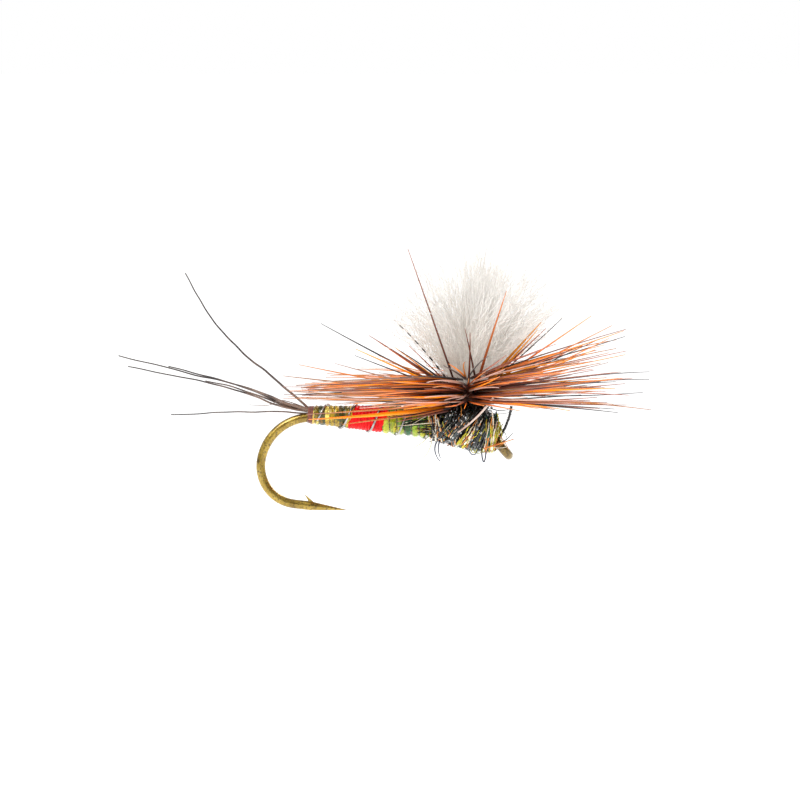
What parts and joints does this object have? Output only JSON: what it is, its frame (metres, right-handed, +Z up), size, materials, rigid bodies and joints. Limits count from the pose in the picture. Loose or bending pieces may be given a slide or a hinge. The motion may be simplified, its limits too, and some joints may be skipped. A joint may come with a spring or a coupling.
{
  "type": "dry fly",
  "caption": "Parachute dry fly on a down-eye barbed hook: fibre tail, ribbed flash and floss body, herl thorax, upright yarn wing and a level hackle wound round its post.",
  "frame": {"origin": "centre of the hook's eye, where the leader is tied", "axes": "+X forwards past the eye along the fly, +Z up along the wing post, the hackle level in X and Y; the shank slopes 6.6 degrees down towards the eye"},
  "size_m": [0.0267, 0.0185, 0.0135],
  "materials": {
    "hook_bronze": "bronzed, satin, thin lacquer",
    "thread_brown": "waxed tying thread",
    "tail_fibre": "stiff tapered fibre, satin",
    "floss_padding": "flat floss",
    "flash_olive": "pearl film, olive gold",
    "floss_red": "glossy floss",
    "flash_green": "pearl film, lime green",
    "rib_silver": "bright soft wire",
    "wing_yarn": "crinkled loose yarn",
    "thorax_dubbing": "dubbed fur",
    "herl_black": "iridescent black herl",
    "hackle_quill": "bare quill",
    "hackle_barb": "stiff glossy feather barb"
  },
  "bodies": {
    "root": {"hook": "hook_bronze", "thread_base": "thread_brown", "tail_wrap": "thread_brown", "tail_fibre_1": "tail_fibre", "tail_fibre_2": "tail_fibre", "tail_fibre_3": "tail_fibre", "tail_fibre_4": "tail_fibre", "tail_fibre_5": "tail_fibre", "tail_fibre_6": "tail_fibre", "underbody": "floss_padding", "tag_flash": "flash_olive", "floss_band": "floss_red", "flash_band": "flash_green", "rib_wire": "rib_silver", "wing_post": "wing_yarn", "post_wrap": "thread_brown", "thorax_core": "thorax_dubbing", "herl_strand_1": "herl_black", "herl_strand_2": "herl_black", "herl_strand_3": "herl_black", "herl_strand_4": "herl_black", "hackle_stem": "hackle_quill", "hackle_barbs_turn_1": "hackle_barb", "hackle_barbs_turn_2": "hackle_barb", "hackle_barbs_turn_3": "hackle_barb", "hackle_barbs_turn_4": "hackle_barb", "hackle_barbs_turn_5": "hackle_barb", "hackle_butt": "hackle_quill", "herl_tag": "herl_black", "head_wrap": "thread_brown"}
  },
  "joints": []
}
